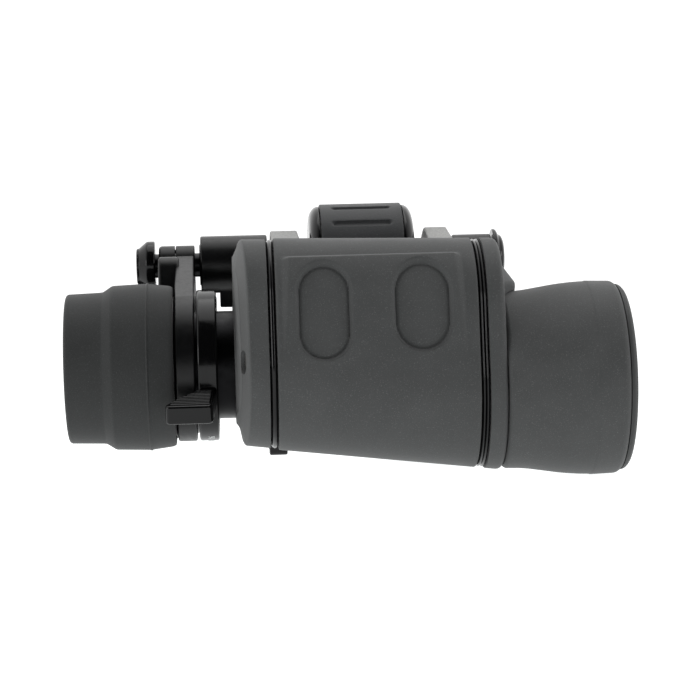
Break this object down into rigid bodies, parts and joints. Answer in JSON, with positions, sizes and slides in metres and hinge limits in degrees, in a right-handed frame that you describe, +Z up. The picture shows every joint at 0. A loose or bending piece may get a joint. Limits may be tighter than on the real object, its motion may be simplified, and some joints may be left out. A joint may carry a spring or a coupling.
{
  "type": "zoom binoculars",
  "caption": "Porro-prism zoom binoculars with rubber armour, a centre focus wheel, a folding hinge, a zoom lever and a tripod socket cap.",
  "frame": {"origin": "middle of the binoculars' box in X and Y, level with the lowest point of the objective barrels", "axes": "+X forwards along the optical axes to the objectives, +Y to the user's left, +Z up"},
  "size_m": [0.152, 0.1648, 0.079],
  "materials": {
    "armour_rubber": "moulded rubber armour with a fine leathery grain",
    "eyecup_rubber": "soft moulded rubber, matt",
    "grip_rubber": "ribbed rubber, half matt",
    "gloss_black": "moulded plastic with a gloss surface",
    "satin_black": "moulded plastic, satin",
    "hinge_paint": "satin black paint on die-cast metal",
    "cast_chassis": "die-cast, painted flat black inside",
    "anodised_black": "turned and black anodised",
    "shaft_steel": "turned and blackened",
    "screw_steel": "zinc plated",
    "coated_glass": "polished, with an anti-reflection coating",
    "prism_glass": "polished with matt edges"
  },
  "bodies": {
    "left_body": {"left_armour_sleeve": "armour_rubber", "left_cover_screw": "screw_steel", "left_front_cover": "armour_rubber", "left_front_hinge_tube": "hinge_paint", "left_front_prism": "prism_glass", "left_front_trim_ring": "gloss_black", "left_objective_barrel": "armour_rubber", "left_objective_front_ring": "gloss_black", "left_objective_lens": "coated_glass", "left_objective_lens_ring": "anodised_black", "left_prism_housing": "cast_chassis", "left_prism_shelf": "cast_chassis", "left_rear_cover": "armour_rubber", "left_rear_hinge_tube": "hinge_paint", "left_rear_prism": "prism_glass", "left_rear_trim_ring": "gloss_black", "left_strap_lug": "gloss_black", "rear_hinge_axle": "anodised_black", "front_hinge_axle": "anodised_black"},
    "right_body": {"right_armour_sleeve": "armour_rubber", "right_cover_screw": "screw_steel", "right_front_cover": "armour_rubber", "right_front_hinge_lug": "hinge_paint", "right_front_prism": "prism_glass", "right_front_trim_ring": "gloss_black", "right_objective_barrel": "armour_rubber", "right_objective_front_ring": "gloss_black", "right_objective_lens": "coated_glass", "right_objective_lens_ring": "anodised_black", "right_prism_housing": "cast_chassis", "right_prism_shelf": "cast_chassis", "right_rear_cover": "armour_rubber", "right_rear_hinge_lug": "hinge_paint", "right_rear_prism": "prism_glass", "right_rear_trim_ring": "gloss_black", "right_strap_lug": "gloss_black"},
    "focus_wheel": {"focus_wheel": "gloss_black", "focus_wheel_grip": "grip_rubber"},
    "left_bridge": {"focus_shaft": "shaft_steel", "shaft_end_knob": "gloss_black", "left_bridge_arm": "satin_black", "left_eyepiece_tube": "anodised_black", "left_field_lens": "coated_glass", "left_eyepiece_head": "satin_black", "left_eyecup": "eyecup_rubber", "left_eye_lens": "coated_glass"},
    "right_bridge": {"right_bridge_arm": "satin_black", "right_eyepiece_tube": "anodised_black", "right_field_lens": "coated_glass"},
    "right_diopter": {"right_diopter_ring": "satin_black", "right_eyecup": "eyecup_rubber", "right_eye_lens": "coated_glass"},
    "right_zoom": {"right_zoom_ring": "gloss_black"},
    "left_zoom": {"left_zoom_ring": "gloss_black"},
    "right_zoom_lens": {"right_zoom_lens": "coated_glass"},
    "left_zoom_lens": {"left_zoom_lens": "coated_glass"},
    "tripod_cap": {"tripod_cap": "gloss_black"}
  },
  "joints": [
    {"name": "eye_spacing_hinge", "type": "hinge", "parent": "left_body", "child": "right_body", "pos_m": [0, 0, 0.0621], "axis": [1, 0, 0], "range_deg": [-21.8, 11.2]},
    {"name": "focus_wheel_turn", "type": "hinge", "parent": "left_body", "child": "focus_wheel", "pos_m": [0, 0, 0.0621], "axis": [1, 0, 0], "range_deg": [-329, 76]},
    {"name": "bridge_slide", "type": "slide", "parent": "left_body", "child": "left_bridge", "axis": [1, 0, 0], "range_m": [-0.0045, 0.001]},
    {"name": "right_arm_turn", "type": "hinge", "parent": "left_bridge", "child": "right_bridge", "pos_m": [0, 0, 0.0621], "axis": [1, 0, 0], "range_deg": [-22.2, 11.6]},
    {"name": "diopter_turn", "type": "hinge", "parent": "right_bridge", "child": "right_diopter", "pos_m": [-0.055, -0.031, 0.0326], "axis": [1, 0, 0], "range_deg": [-70, 70]},
    {"name": "zoom_lever_turn", "type": "hinge", "parent": "right_bridge", "child": "right_zoom", "pos_m": [-0.037, -0.031, 0.0326], "axis": [1, 0, 0], "range_deg": [-50, 10]},
    {"name": "left_zoom_turn", "type": "hinge", "parent": "left_bridge", "child": "left_zoom", "pos_m": [-0.037, 0.031, 0.0326], "axis": [1, 0, 0], "range_deg": [-51, 11]},
    {"name": "right_zoom_lens_slide", "type": "slide", "parent": "right_bridge", "child": "right_zoom_lens", "axis": [1, 0, 0], "range_m": [-0.0064, 0.0014]},
    {"name": "left_zoom_lens_slide", "type": "slide", "parent": "left_bridge", "child": "left_zoom_lens", "axis": [1, 0, 0], "range_m": [-0.0064, 0.0014]},
    {"name": "tripod_cap_slide", "type": "slide", "parent": "left_body", "child": "tripod_cap", "axis": [1, 0, 0], "range_m": [0, 0.012]}
  ],
  "couplings": [
    {"joint": "focus_wheel_turn", "follows": "bridge_slide", "rad_per_m": 1256.6},
    {"joint": "right_arm_turn", "follows": "eye_spacing_hinge", "ratio": 1},
    {"joint": "left_zoom_turn", "follows": "zoom_lever_turn", "ratio": 1},
    {"joint": "right_zoom_lens_slide", "follows": "zoom_lever_turn", "m_per_rad": 0.00716},
    {"joint": "left_zoom_lens_slide", "follows": "zoom_lever_turn", "m_per_rad": 0.00716}
  ]
}
